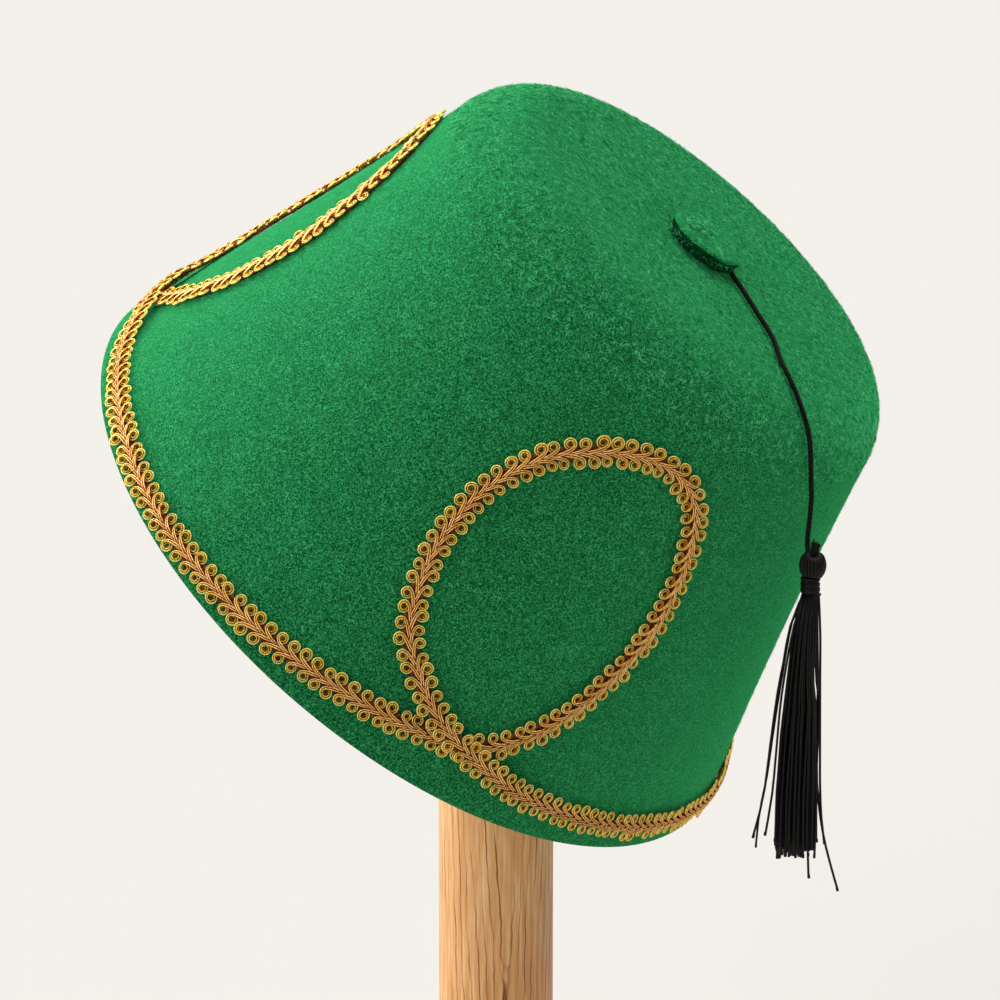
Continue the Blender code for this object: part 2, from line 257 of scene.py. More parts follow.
def smoothRoute(points, step):
    # points about `step` apart on a smooth curve through the given ones
    route = []
    last = len(points) - 1
    for i in range(last):
        a, b, c, d = (points[min(max(i + k, 0), last)] for k in (-1, 0, 1, 2))
        pieces = max(1, round(float(np.linalg.norm(c - b)) / step))
        for k in range(pieces):
            t = k / pieces
            route.append(0.5 * (2 * b + (c - a) * t + (2 * a - 5 * b + 4 * c - d) * t**2
                                + (3 * b - a - 3 * c + d) * t**3))
    return np.array([*route, points[last]])


def routeLength(route):
    return float(np.linalg.norm(np.diff(route, axis=0), axis=1).sum())


def layThreads(name, routes, thickness, roundness=1):
    # bevelled curves along the routes, made into one mesh; roundness 0 gives four sides, 1 gives six
    curve = bpy.data.curves.new(name, "CURVE")
    curve.dimensions = "3D"
    curve.bevel_depth = thickness / 2
    curve.bevel_resolution = roundness
    curve.use_fill_caps = True
    for route in routes:
        spline = curve.splines.new("POLY")
        spline.points.add(len(route) - 1)
        spline.points.foreach_set("co", np.hstack([route, np.ones((len(route), 1))]).ravel())
    item = bpy.data.objects.new(name, curve)
    bpy.context.collection.objects.link(item)
    pickOnly(item)
    bpy.ops.object.convert(target="MESH")
    item = bpy.context.object
    closeMesh(0.000002)
    bpy.ops.object.shade_smooth()
    return item


def readVertices(item):
    places = np.zeros(len(item.data.vertices) * 3, np.float32)
    item.data.vertices.foreach_get("co", places)
    return places.reshape(-1, 3).astype(float)


def moveVertices(item, places):
    item.data.vertices.foreach_set("co", places.astype(np.float32).ravel())
    item.data.update()


# cord

cord = {
    "diameter": 1.1 * mm,
    "gap": 0.5 * mm,  # between the felt and the cord
    # over the crown: degrees round the hat, mm up from the rim
    "onCrown": [
        (-22.5, 147.6), (-27.0, 145.1), (-26.0, 141.3), (-26.5, 135.5), (-26.5, 128.9), (-27.0, 125.4),
        (-29.0, 121.6), (-30.7, 117.8), (-31.2, 113.4), (-30.5, 109.0), (-29.0, 105.6), (-27.5, 103.0),
        (-26.2, 100.8),
    ],
    # off the felt: mm down, mm aside along the felt
    "fall": [(1.8, 0.34), (4.5, 0.57), (8.5, 0.76), (13.0, 0.95), (17.0, 0.60), (20.5, 0.12), (24.0, 0.0)],
    "fallWay": (0.42, 0.907, 0),
    "intoTassel": 15.5 * mm,  # runs on, hidden, through the head and the binding to the skirt
    "plies": 3,
    "plyThickness": 0.54 * mm,
    "plyOffset": 0.32 * mm,
    "twist": 2.7 * mm,  # one full turn of the plies
}


def cordRoute():
    turns = np.radians([turn for turn, up in cord["onCrown"]])
    ups = np.array([up for turn, up in cord["onCrown"]]) * mm
    clear = hatNormals(turns, ups) * (cord["diameter"] / 2 + cord["gap"])
    points = list(onStand(hatPoints(turns, ups) + clear))
    edge = points[-1]
    for drop, aside in cord["fall"]:
        points.append(edge + np.array(cord["fallWay"]) * aside * mm - np.array((0, 0, drop * mm)))
    return smoothRoute(points, 2.8 * mm)


def twistedPlies(route, plies, offset, twist, step):
    # helices about a route, for a cord of two or more plies
    spaced = smoothRoute(route, step)
    along = np.concatenate([[0], np.cumsum(np.linalg.norm(np.diff(spaced, axis=0), axis=1))])
    ahead = np.gradient(spaced, axis=0)
    ahead /= np.linalg.norm(ahead, axis=1, keepdims=True)
    side = np.cross(ahead, (0.3, 1.0, 0.2))
    side /= np.linalg.norm(side, axis=1, keepdims=True)
    up = np.cross(ahead, side)
    laid = []
    for ply in range(plies):
        swing = 2 * math.pi * (along / twist + ply / plies)
        laid.append(spaced + offset * (side * np.cos(swing)[:, None] + up * np.sin(swing)[:, None]))
    return laid


cordLine = cordRoute()
tasselTop = cordLine[-1].copy()
cordLine = np.vstack([cordLine, tasselTop - np.array((0, 0, cord["intoTassel"]))])
twistedCord = layThreads(
    "twistedCord",
    twistedPlies(cordLine, cord["plies"], cord["plyOffset"], cord["twist"], 0.3 * mm),
    cord["plyThickness"],
)
print("cord laid, %.1f mm" % (routeLength(cordLine) / mm))

# felt

feltLook = {
    # pale is partly painted light on the curled fibres, dark partly painted shade in the gaps between them
    "pale": "3fae6b",
    "middle": "19703c",
    "dark": "06371c",
    "bloom": "53f998",  # the fuzz's own colour against the light
    # the raised fibres' colour, painted paler than the mat as painted light
    "fibre": "68dc96",
    "places": (0.51, 0.66, 0.84),  # where dark, middle and pale lie in the mixed pattern
    "clump": 0.36 * mm,  # the width of the matted fibre clumps
    "patch": 9 * mm,  # slow mottling
    # fine and coarse curled fibres, coarser than real ones so that they show: size, sharpness and wander
    "curls": ((0.38 * mm, 7.0, 0.8), (0.75 * mm, 9.0, 1.2)),
    # how much the coarse curls count beside the fine ones, all curls beside the clumps, and the mottling
    "shares": (0.7, 0.18, 0.07),
    "relief": 0.22 * mm,
}


def makeFelt():
    # wool felt, wet-blocked and left raised: no gloss at all, short curled fibres painted pale as painted
    # light, over painted shade in the gaps between them, slow mottling, and a pale bloom of fuzz at grazing
    # angles
    material, coords = newMaterial("blockedWoolFelt")
    clumps = addNoise(material, coords, feltLook["clump"], detail=1.5, roughness=0.7, wander=1.0)
    patches = addNoise(material, coords, feltLook["patch"])
    fine, coarse = [addCurls(material, coords, *curls) for curls in feltLook["curls"]]
    ofCoarse, ofCurls, ofPatches = feltLook["shares"]
    curls = addMath(material, "MULTIPLY_ADD", coarse, ofCoarse, fine)
    mixed = addMath(material, "MULTIPLY_ADD", curls, ofCurls, clumps)
    mottled = addMath(material, "MULTIPLY_ADD", patches, ofPatches, mixed)
    codes = [feltLook[part] for part in ("dark", "middle", "pale")]
    return setSurface(
        material,
        {
            "Base Color": addRamp(material, mottled, feltLook["places"], codes),
            "Normal": addBump(material, mixed, feltLook["relief"], 0.9),
        },
        {"Roughness": 0.95, "Specular IOR Level": 0.0, "Sheen Weight": 0.8, "Sheen Roughness": 0.5,
         "Sheen Tint": hexColor(feltLook["bloom"])},
    )


def makeFibres():
    # single wool fibres that stand off the felt, coloured paler than the mat: painted light for what shines
    # through them and to lift their shaded sides
    material, coords = newMaterial("raisedWoolFibres")
    noise = addNoise(material, coords, 1.5 * mm)
    return setSurface(
        material,
        {"Base Color": addRamp(material, noise, (0.42, 0.58), (feltLook["middle"], feltLook["fibre"]))},
        {"Roughness": 0.95, "Specular IOR Level": 0.0, "Sheen Weight": 0.6,
         "Sheen Tint": hexColor(feltLook["bloom"])},
    )


felt, fibres = makeFelt(), makeFibres()
shell = {"columns": 300, "rows": 108, "cutEdge": 0.35 * mm}


def makeShell():
    # a flat grid wrapped round the hat's outline, closed, and thickened inwards
    bpy.ops.mesh.primitive_grid_add(x_subdivisions=shell["columns"], y_subdivisions=shell["rows"], size=1)
    item = bpy.context.object
    item.name = item.data.name = "feltShell"
    flat = readVertices(item)
    angles = (flat[:, 0] + 0.5) * 2 * math.pi
    radii, heights = hatOutline(angles)
    whole = np.hypot(np.diff(radii, axis=0), np.diff(heights, axis=0)).sum(axis=0)
    moveVertices(item, onStand(hatPoints(angles, (flat[:, 1] + 0.5) * whole)))
    closeMesh(0.00001)
    wall = item.modifiers.new("wall", "SOLIDIFY")
    wall.thickness = hat["thickness"]
    wall.offset = -1
    wall.use_even_offset = True
    edge = item.modifiers.new("cut edge", "BEVEL")
    edge.width = shell["cutEdge"]
    edge.segments = 2
    edge.limit_method = "ANGLE"
    edge.angle_limit = math.radians(60)
    applyModifiers(item)
    bpy.ops.object.shade_smooth()
    return item


finishPiece(makeShell(), felt, "green_felt", "felt_crown")
print("felt shell wrapped")

fuzz = {
    # how many fibres
    "wall": 28000,
    "crown": 24000,
    "patch": 1400,
    # along the outline up from the rim
    "wallTop": 106 * mm,
    "crownFoot": 92 * mm,
    "whole": 157 * mm,
    "long": (0.6 * mm, 1.5 * mm),
    "thick": (0.035 * mm, 0.075 * mm),  # on the wall and on the crown, where single fibres show as flecks
    "lift": (0.05, 0.55),  # rise over run
    "rooted": 0.08,  # share of a fibre that is under the surface
}


def hatSpots(count, lowest, highest, random):
    # random places on a band of the hat, in its own frame, with their normals; over the crown the band
    # narrows to a point, so its places crowd towards the outside
    angles = random.uniform(0, 2 * math.pi, count)
    ups = random.uniform(lowest, highest, count)
    if highest >= fuzz["whole"]:
        ups = highest - (highest - lowest) * np.sqrt(random.uniform(0, 1, count))
    return hatPoints(angles, ups), hatNormals(angles, ups)


def scatterFibres(name, spots, thick, random):
    # one tapered fibre, copied all over and laid down in every direction
    bpy.ops.mesh.primitive_cone_add(vertices=3, radius1=1, radius2=0, depth=1, end_fill_type="TRIFAN")
    item = bpy.context.object
    item.name = item.data.name = name
    closeMesh(0.0001)
    one = readVertices(item)
    faces = [list(face.vertices) for face in item.data.polygons]
    roots, normals = spots
    count = len(roots)
    sideways = np.cross(normals, random.normal(size=(count, 3)))
    sideways /= np.linalg.norm(sideways, axis=1, keepdims=True)
    rise = random.uniform(*fuzz["lift"], count)[:, None]
    ahead = sideways + normals * rise
    ahead /= np.linalg.norm(ahead, axis=1, keepdims=True)
    across = np.cross(ahead, normals)
    across /= np.linalg.norm(across, axis=1, keepdims=True)
    upright = np.cross(across, ahead)
    long = random.uniform(*fuzz["long"], count)[:, None, None]
    places = (
        roots[:, None] + one[None, :, 0:1] * thick * across[:, None]
        + one[None, :, 1:2] * thick * upright[:, None]
        + (one[None, :, 2:3] + 0.5 - fuzz["rooted"]) * long * ahead[:, None]
    )
    mesh = bpy.data.meshes.new(name)
    steps = np.arange(count)[:, None, None] * len(one)
    mesh.from_pydata(
        onStand(places.reshape(-1, 3)).tolist(), [], (steps + np.array(faces)[None]).reshape(-1, 3).tolist()
    )
    mesh.update()
    item.data = mesh
    finishPiece(item, fibres, "green_felt")


random = np.random.default_rng(11)
scatterFibres("wallFuzz", hatSpots(fuzz["wall"], 0, fuzz["wallTop"], random), fuzz["thick"][0], random)
random = np.random.default_rng(12)
scatterFibres(
    "crownFuzz", hatSpots(fuzz["crown"], fuzz["crownFoot"], fuzz["whole"], random), fuzz["thick"][1], random
)
print("fuzz scattered")

# patch over the cord's anchor

patch = {
    "radius": 8.9 * mm,
    "footRadius": 8.1 * mm,  # cut slanting, so that its side turns away from the light
    "thickness": 3.6 * mm,
    "centre": (1.9 * mm, -6.5 * mm),
    "gap": 0.5 * mm,
    "insets": (0.9 * mm, 2.2 * mm, 2.6 * mm),
    "puff": 0.04 * mm,  # how much each inset rises
    "edge": 1.0 * mm,
    # the cut side's dark greens are painted shade
    "side": ("052c17", "175530"),
    "droop": (205, 1.3 * mm),  # degrees round to the side that is pressed flatter, and by how much
    "wobble": ((5, 1.0, 0.10), (8, 2.6, 0.07), (13, 0.4, 0.05)),  # waves round its edge: count, start and mm
    "waveHeight": 1.4,  # how much further the waves go up than out
    "fuzzOnTop": 0.8,  # share of the disc's fibres that stand on its top and not round its edge
    "fuzzedEdge": (0.3 * mm, 2.2 * mm),  # how far down the edge they reach
}
crownPeak = float(hatPoints(np.zeros(1), np.ones(1))[0][2])  # a metre up the outline is clipped to its end


def patchDroop(around, share):
    # how far the disc is pressed down, `share` of the way out from its middle
    side, down = patch["droop"]
    lean = np.clip(0.5 + 0.5 * np.cos(around - math.radians(side)), 0, 1) ** 2 * share**2
    return down * lean


def makePatch():
    # a punched felt disc: a slightly tapered cylinder with an inset, rounded rim and a puffed top
    bpy.ops.mesh.primitive_cone_add(
        vertices=72, radius1=patch["footRadius"], radius2=patch["radius"], depth=patch["thickness"],
        location=(*patch["centre"], crownPeak + patch["gap"] + patch["thickness"] / 2),
    )
    item = bpy.context.object
    item.name = item.data.name = "crownPatch"
    bpy.ops.object.transform_apply(location=True)
    bpy.ops.object.mode_set(mode="EDIT")
    bpy.ops.mesh.select_all(action="DESELECT")
    bpy.ops.object.mode_set(mode="OBJECT")
    for face in item.data.polygons:
        face.select = abs(face.normal.z) > 0.9
    bpy.ops.object.mode_set(mode="EDIT")
    for inset in patch["insets"]:
        bpy.ops.mesh.inset(thickness=inset, depth=patch["puff"])
    bpy.ops.mesh.poke()
    bpy.ops.object.mode_set(mode="OBJECT")
    edge = item.modifiers.new("edge", "BEVEL")
    edge.width = patch["edge"]
    edge.segments = 4
    edge.limit_method = "ANGLE"
    edge.angle_limit = math.radians(50)
    applyModifiers(item)
    bpy.ops.object.shade_smooth()
    places = readVertices(item)
    out = places[:, :2] - patch["centre"]
    far = np.hypot(*out.T)
    around = np.arctan2(out[:, 1], out[:, 0])
    waves = sum(size * mm * np.sin(count * around + start) for count, start, size in patch["wobble"])
    places[:, :2] += out / far.clip(mm)[:, None] * (waves * far / patch["radius"])[:, None]
    places[:, 2] += patch["waveHeight"] * waves * far / patch["radius"]
    low = places[:, 2].min()
    places[:, 2] -= patchDroop(around, far / patch["radius"]) * (places[:, 2] - low) / patch["thickness"]
    moveVertices(item, onStand(places))
    return item


def makeShadedCutSide():
    # the disc's cut side, packed wool without raised fuzz, coloured darker than the felt as painted shade on
    # a side turned from the light
    material, coords = newMaterial("cutFeltPaintedShade")
    colour = addRamp(material, addNoise(material, coords, 0.5 * mm), (0.4, 0.68), patch["side"])
    return setSurface(material, {"Base Color": colour}, {"Roughness": 1.0, "Specular IOR Level": 0.0})


def patchSpots(count, random):
    # random places on the disc's top and round its upper edge
    share = random.uniform(0, 1, count)
    around = random.uniform(0, 2 * math.pi, count)
    top = crownPeak + patch["gap"] + patch["thickness"]
    far = np.sqrt(share.clip(0, patch["fuzzOnTop"]) / patch["fuzzOnTop"])
    onTop = share < patch["fuzzOnTop"]
    radius = (patch["radius"] - 0.3 * mm) * far
    height = top - patchDroop(around, far)
    rounding = 0.25 * mm * far**6
    height -= np.where(onTop, rounding, random.uniform(*patch["fuzzedEdge"], count))
    roots = np.stack([
        patch["centre"][0] + radius * np.cos(around), patch["centre"][1] + radius * np.sin(around), height
    ], axis=1)
    outward = np.stack([np.cos(around), np.sin(around), np.zeros(count)], axis=1)
    return roots, np.where(onTop[:, None], (0.0, 0.0, 1.0), outward)


crownPatch = finishPiece(makePatch(), felt, "green_felt", "crown_tab")
crownPatch.data.materials.append(makeShadedCutSide())
crownUp = hatFrame.to_3x3() @ Vector((0, 0, 1))
for face in crownPatch.data.polygons:
    # the sides take the cut felt with its painted shade
    face.material_index = int(face.normal.dot(crownUp) < 0.2)  # all but the top has the cut felt
random = np.random.default_rng(13)
scatterFibres("patchFuzz", patchSpots(fuzz["patch"], random), fuzz["thick"][1], random)
print("patch made")

# braid

braid = {
    "thickness": 0.9 * mm,
    "gap": 0.5 * mm,
    "pitch": 3.0 * mm,
    "thread": 0.32 * mm,
    "sink": 0.45 * mm,  # how far the threads lie down into the gap under the strip
    "plump": 1.5,  # how much taller the threads stand than they are wide
    "halfWidth": 3.3 * mm,
    "coreWidth": 3.0 * mm,
    "coreThickness": 0.5 * mm,
    "loose": (0.13 * mm, 0.05, 0.07),  # how unevenly the leaves lie: shift, share of their size, and tilt
    "meanRadius": (87 + 56) / 2 * mm,
    "loopTop": 83.6,
    # degrees round the hat, lean of the top, height, width before and after the middle, how far the lower
    # part of the returning side is drawn in, dip of the tail in mm
    "loops": [
        (-56.8, 0.0, 1.0, 1.0, 1.0, 0.0, 0.0),
        (73.5, 2.0, 0.98, 0.95, 1.0, 0.0, 0.8),
        (204.2, -8.0, 1.03, 0.68, 1.05, 0.4, 1.9),
    ],
    "pinch": (12.0, 40.0, 68.0),  # mm up: drawn in from the first to the second, let out by the third
    # one loop: degrees from its middle, mm up from the rim, share of the lift over the strand below
    "route": [
        (-45.0, 4.0, 0), (-31.0, 5.4, 0), (-18.0, 7.6, 0), (-6.0, 10.2, 0), (3.3, 13.4, 0), (11.5, 24.5, 0),
        (16.8, 39.5, 0), (18.9, 55.0, 0), (16.3, 71.0, 0), (11.0, 80.3, 0), (3.0, 83.6, 0), (-6.5, 80.5, 0),
        (-15.5, 71.5, 0), (-20.0, 58.0, 0), (-19.7, 42.5, 0), (-15.4, 27.5, 0), (-10.5, 20.6, 0.2),
        (-4.8, 15.4, 0.9), (1.5, 12.0, 1), (8.0, 9.6, 0.8), (15.0, 7.8, 0), (29.0, 6.3, 0), (44.0, 5.4, 0),
    ],
}


def braidRoute():
    # along the rim and round every loop, as distance round a mean hat, distance up, and lift
    route = []
    foot, full, end = braid["pinch"]
    for at, lean, tall, before, after, pinch, dip in braid["loops"]:
        for turn, up, lift in braid["route"]:
            width = before if turn < 0 else after
            if turn < 0 and up > foot:
                width *= 1 - pinch * min(max((end - up) / (end - full), 0), 1)
            angle = math.radians(at + turn * width + lean * up / braid["loopTop"])
            drop = dip if turn > 8 and up < 9 else 0
            height = lift * (braid["thickness"] + braid["gap"])
            route.append(np.array((angle * braid["meanRadius"], (up * tall - drop) * mm, height)))
    return route


def braidFrames():
    # closely spaced centre points of the strip on the felt, with its sideways and outward directions
    route = braidRoute()
    lap = np.array((2 * math.pi * braid["meanRadius"], 0, 0))
    step = 0.4 * mm
    whole = [route[-1] - lap, *route, route[0] + lap, route[1] + lap]
    lead = max(1, round(float(np.linalg.norm(whole[1] - whole[0])) / step))
    tail = max(1, round(float(np.linalg.norm(whole[-1] - whole[-2])) / step))
    fine = smoothRoute(whole, step)[lead:-tail]  # exactly one lap, its end on its start
    angles, ups = fine[:, 0] / braid["meanRadius"], fine[:, 1]
    lift = np.clip(fine[:, 2], 0, braid["thickness"] + braid["gap"])
    normals = hatNormals(angles, ups)
    centres = hatPoints(angles, ups) + normals * (braid["gap"] + lift)[:, None]
    ahead = np.gradient(centres, axis=0)
    ahead[0] = ahead[-1] = centres[1] - centres[-2]
    side = np.cross(normals, ahead)
    side /= np.linalg.norm(side, axis=1, keepdims=True)
    along = np.concatenate([[0], np.cumsum(np.linalg.norm(np.diff(centres, axis=0), axis=1))])
    return along, centres, side, normals


braidAlong, braidCentres, braidSide, braidNormals = braidFrames()
braidLength = braidAlong[-1]
repeats = round(braidLength / braid["pitch"])
pitch = braidLength / repeats


def layOnHat(flat):
    # x runs along the braid, y across it and z off the felt
    along = np.mod(flat[:, 0], braidLength)
    spots = [
        np.stack([np.interp(along, braidAlong, table[:, k]) for k in range(3)], axis=1)
        for table in (braidCentres, braidSide, braidNormals)
    ]
    return onStand(spots[0] + spots[1] * flat[:, 1:2] + spots[2] * flat[:, 2:3])


# one leaf of the gimp, in mm: back along the braid, out from its middle, and height
leaf = {
    "stem": [(0.0, -0.12, 0.50), (0.9, 0.10, 0.95), (1.9, 0.34, 1.10), (2.9, 0.62, 1.00), (3.75, 0.98, 0.85)],
    "ringCentre": (3.36, 1.92),
    "threadGap": 0.20,
    # each thread round the ring: first and last turn, radius, height and number of steps
    "outer": ((-28, 325), (1.16, 1.12), (0.76, 0.44), 12),
    "inner": ((-28, 560), (0.77, 0.28), (0.84, 0.30), 17),
    "ringFoot": (0.6, 0.9),  # where the stem turns to ring: out from the braid's middle, and over what width
    # how much painted light an outer flank gets, and an underside where the strip stands edge-on, and how
    # little the ring's eye gets
    "flankLight": 0.9,
    "underLight": 0.6,
    "eyeLight": 0.1,
    "eyeEdge": (-0.62, 0.34),  # where the eye's shadow ends: out from the outer thread, and over what width
}


def leafRoutes(mirror):
    # two threads side by side from the braid's middle, one round the ring and one wound in to its centre
    backward, outward = leaf["ringCentre"]
    stem = np.array(leaf["stem"])
    ahead = np.gradient(stem[:, :2], axis=0)
    ahead /= np.linalg.norm(ahead, axis=1, keepdims=True)
    beside = np.stack([ahead[:, 1], -ahead[:, 0], np.zeros(len(ahead))], axis=1)
    routes = []
    for way, part in ((1, "outer"), (-1, "inner")):
        turns, radii, heights, steps = leaf[part]
        share = np.linspace(0, 1, steps + 1)
        swing = np.radians(turns[0] + (turns[1] - turns[0]) * share)
        radius = radii[0] + (radii[1] - radii[0]) * share**2
        height = heights[0] + (heights[1] - heights[0]) * share
        ring = np.stack([backward + radius * np.cos(swing), outward + radius * np.sin(swing), height], axis=1)
        route = np.vstack([stem + beside * way * leaf["threadGap"], ring])
        route[:, 0] *= -1
        route[:, 1] *= mirror
        routes.append(route * mm)
    return routes


def leafTones(local, facing, mirror):
    # how much painted light each point gets, as a lit crest rather than a shaded groove, and how much of it
    # belongs to the ring
    out = local[:, 1] * mirror
    centre = np.array(leaf["ringCentre"]) * (-mm, mirror * mm)
    away = np.hypot(*(local[:, :2] - centre).T) - leaf["outer"][1][0] * mm
    flank = np.clip(away / (0.4 * braid["thread"]), 0, leaf["flankLight"]) * (out > 0.8 * mm)
    under = leaf["underLight"] * np.clip(-facing, 0, 1)
    paintedLight = np.maximum(np.clip(facing, 0, 1), np.maximum(flank, under))
    (foot, footWidth), (edge, edgeWidth) = leaf["ringFoot"], leaf["eyeEdge"]
    ring = np.clip((out / mm - foot) / footWidth, 0, 1)
    paintedLight *= 1 - ring * (1 - np.clip((away / mm - edge) / edgeWidth, leaf["eyeLight"], 1))
    return paintedLight, ring


def makeLeaves(name, mirror, start, seed):
    # one side of the braid: a leaf repeated in a straight row, loosened a little, then laid on the hat
    item = layThreads(name, leafRoutes(mirror), braid["thread"], roundness=0)
    each = len(item.data.vertices)
    row = item.modifiers.new("row", "ARRAY")
    row.count = repeats
    row.use_relative_offset = False
    row.use_constant_offset = True
    row.constant_offset_displace = (pitch, 0, 0)
    applyModifiers(item)
    flat = readVertices(item)
    facing = np.zeros(len(flat) * 3, np.float32)
    item.data.vertices.foreach_get("normal", facing)
    number = np.arange(len(flat)) // each
    random = np.random.default_rng(seed)
    astray, uneven, tilted = braid["loose"]
    shift = random.normal(0, astray, (repeats, 2))[number]
    size = random.normal(1, uneven, repeats)[number]
    tip = random.normal(0, tilted, repeats)[number]
    local = flat - np.stack([number * pitch, 0 * number, 0 * number], axis=1)
    out = np.abs(local[:, 1]) / braid["halfWidth"]
    paintedLight, ring = leafTones(local, facing.reshape(-1, 3)[:, 2], mirror)
    local[:, 2] = local[:, 2] * braid["plump"] + local[:, 1] * mirror * tip - braid["sink"]
    local[:, :2] += shift * out[:, None]
    local[:, 0] = local[:, 0] * size
    local[:, 1] = local[:, 1] * (1 + (size - 1) * 0.7)  # a big leaf grows less across than along
    local[:, 0] += number * pitch + start
    moveVertices(item, layOnHat(local))
    # the yarn's colour follows this: painted highlight on crests and flanks, painted shade in the grooves and
    # the ring's eye
    tones = {"tone": random.uniform(0, 1, repeats)[number], "paintedLight": paintedLight, "ring": ring}
    for label, values in tones.items():
        tone = item.data.attributes.new(label, "FLOAT", "POINT")
        tone.data.foreach_set("value", values.astype(np.float32))
    return item


def makeCore():
    # the flat foundation that the leaves are bound to
    count = int(braidLength / (0.9 * mm))
    bpy.ops.mesh.primitive_grid_add(x_subdivisions=count, y_subdivisions=4, size=1)
    item = bpy.context.object
    item.name = item.data.name = "braidCore"
    flat = readVertices(item)
    flat[:, 0] = (flat[:, 0] + 0.5) * braidLength
    flat[:, 1] *= braid["coreWidth"]
    flat[:, 2] = 0.05 * mm - braid["sink"]
    flat[:, 0] = np.where(flat[:, 0] >= braidLength - 1e-9, 0, flat[:, 0])
    moveVertices(item, layOnHat(flat))
    closeMesh(0.00001)
    strip = item.modifiers.new("thickness", "SOLIDIFY")
    strip.thickness = braid["coreThickness"]
    strip.offset = 1
    applyModifiers(item)
    bpy.ops.object.shade_smooth()
    return item


goldLook = {
    # groove, flank, crest and glint of the yarn, from painted shade to painted highlight, on the rings and on
    # the redder stems
    "ring": ("3c0c00", "d47800", "ffc000", "ffec84"),
    "stem": ("340600", "c05408", "fc9e28", "ffdc90"),
    "ringPlaces": (0.14, 0.36, 0.56, 0.78),
    "stemPlaces": (0.16, 0.40, 0.60, 0.80),
    # the foundation's dark browns are painted shade between the yarns
    "core": ("340800", "944806"),
    "mirror": "ffa41e",  # the gilt strip's own colour in what it mirrors
    # the glint pattern gives painted glints in the colour as well as a bump
    "glint": 0.30 * mm,  # the flat metal strip shows in bits about this long
    "relief": 0.12 * mm,
    # how much each leaf's own tone and the crest count beside the glints, and what their sum is spread from
    "shares": (0.10, 0.60),
    "span": (0.35, 1.10),
}


def makeGold():
    # metallised yarn, a flat gilt strip wound round a cotton core: a painted highlight along the thread's
    # crest, painted shade in deep orange to brown in the grooves between threads, and painted glints where
    # the strip's edges break it up
    material, coords = newMaterial("metallisedGimpYarn")
    glints = addNoise(material, coords, goldLook["glint"], detail=1.0, roughness=0.6)
    tone, paintedLight, ring = [
        addNode(material, "ShaderNodeAttribute", {}, attribute_name=label).outputs["Fac"]
        for label in ("tone", "paintedLight", "ring")
    ]
    ofTone, ofCrest = goldLook["shares"]
    lit = addMath(material, "MULTIPLY_ADD", tone, ofTone, glints)
    lit = addMath(material, "MULTIPLY_ADD", paintedLight, ofCrest, lit)
    lit = addRange(material, lit, *goldLook["span"])
    ramps = [addRamp(material, lit, goldLook[part + "Places"], goldLook[part]) for part in ("stem", "ring")]
    return setSurface(
        material,
        {
            "Base Color": addBlend(material, ring, *ramps),
            "Normal": addBump(material, glints, goldLook["relief"], 0.8),
        },
        {"Metallic": 0.4, "Roughness": 0.3, "Specular IOR Level": 0.6,
         "Specular Tint": hexColor(goldLook["mirror"])},
    )


def makeCoreShade():
    # the braid's cotton foundation between the yarns, dull brown gold darkened as painted shade
    material, coords = newMaterial("braidCorePaintedShade")
    colour = addRamp(material, addNoise(material, coords, 0.5 * mm), (0.35, 0.7), goldLook["core"])
    return setSurface(material, {"Base Color": colour}, {"Roughness": 0.8})


gold, coreShade = makeGold(), makeCoreShade()
finishPiece(makeLeaves("outerLeaves", 1, 0, 21), gold, "gold_thread", "gold_braid")
finishPiece(makeLeaves("innerLeaves", -1, pitch / 2, 22), gold, "gold_thread", "gold_braid")
finishPiece(makeCore(), coreShade, "gold_thread", "gold_braid")
print("braid laid, %.0f mm in %d repeats" % (braidLength / mm, repeats))

# tassel

tassel = {
    "shift": (1.1 * mm, 0.53 * mm, 0),
    "gap": 0.5 * mm,
    "turn": 25.2,  # degrees round to the side that the edges below are seen from
    # from here to the edges in mm
    "headRadius": 2.9,
    "headLength": 5.2,
    "bindingRadius": 1.80,
    "bindingLength": 4.0,
    "skirtLength": 56.0,
    # the bundle's edges: share of the way down, mm across
    "leftEdge": [
        (0, -1.9), (0.05, -2.9), (0.12, -3.5), (0.25, -4.4), (0.37, -5.1), (0.56, -6.2), (0.79, -6.9),
        (1, -7.1),
    ],
    "rightEdge": [(0, 1.3), (0.1, 0.85), (0.33, 0.8), (0.43, 1.5), (1, 1.7)],
    "halfDepth": (1.4, 2.0),  # of the bundle at its top, and what it gains on the way down
    "strands": 66,
    "strandThickness": 0.52 * mm,  # coarser than real floss, so that single strands show
    "sway": 0.20,
    "uneven": (-2.4, 1.3),  # how much shorter or longer strands are than the skirt
    "bead": (0.8 * mm, 0.14 * mm),  # the waxed end of a strand: its length, and how far it lies aside
    "ribs": 22,
    "ribThickness": 0.80 * mm,
    "hump": (0.95, -0.25),  # how much higher the head rises on both sides of the cord, and elsewhere
    "knot": (-0.85, -0.1, 0.45),  # its middle across and in depth, and its radius
    "wraps": 8,
    "frayedEnds": 46,
    "frayedHeights": (1.3, 3.0),
}
tasselFrame = (
    Matrix.Translation(Vector(tasselTop) + Vector(tassel["shift"]) - Vector((0, 0, tassel["gap"])))
    @ Matrix.Rotation(math.radians(tassel["turn"]), 4, "Z")
)


def inTassel(points):
    # mm across, in depth and down from the head's top, to the place where the tassel hangs
    turned = [tasselFrame @ (Vector((x, y, -z)) * mm) for x, y, z in points]
    return np.array(turned)


